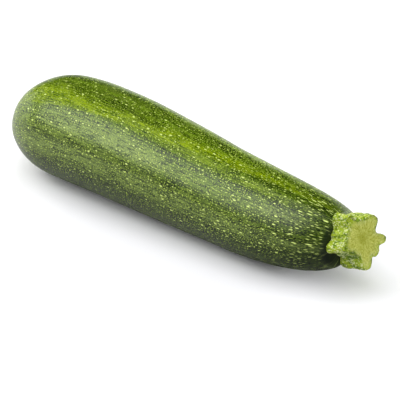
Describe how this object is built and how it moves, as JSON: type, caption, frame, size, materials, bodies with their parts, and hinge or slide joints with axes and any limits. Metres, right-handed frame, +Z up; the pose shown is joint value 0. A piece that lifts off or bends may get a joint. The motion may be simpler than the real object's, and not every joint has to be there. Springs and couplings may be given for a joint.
{
  "type": "courgette",
  "caption": "Whole fresh courgette, green with pale flecks and lighter stripes, lying on its side with the cut stub of its ridged stalk.",
  "frame": {"origin": "on the ground, under the middle of the courgette's bounding box", "axes": "+X along the courgette from the blossom end to the stalk, +Z up"},
  "size_m": [0.1902, 0.046, 0.0453],
  "materials": {
    "skin": "thin waxy green rind, half gloss, with pale yellow-green flecks and lighter stripes along its length",
    "stalk": "pale lime-green stalk, satin and finely bumpy outside, matte and fibrous on the cut face"
  },
  "bodies": {
    "root": {"fruit": "skin", "stem": "stalk"}
  },
  "joints": []
}
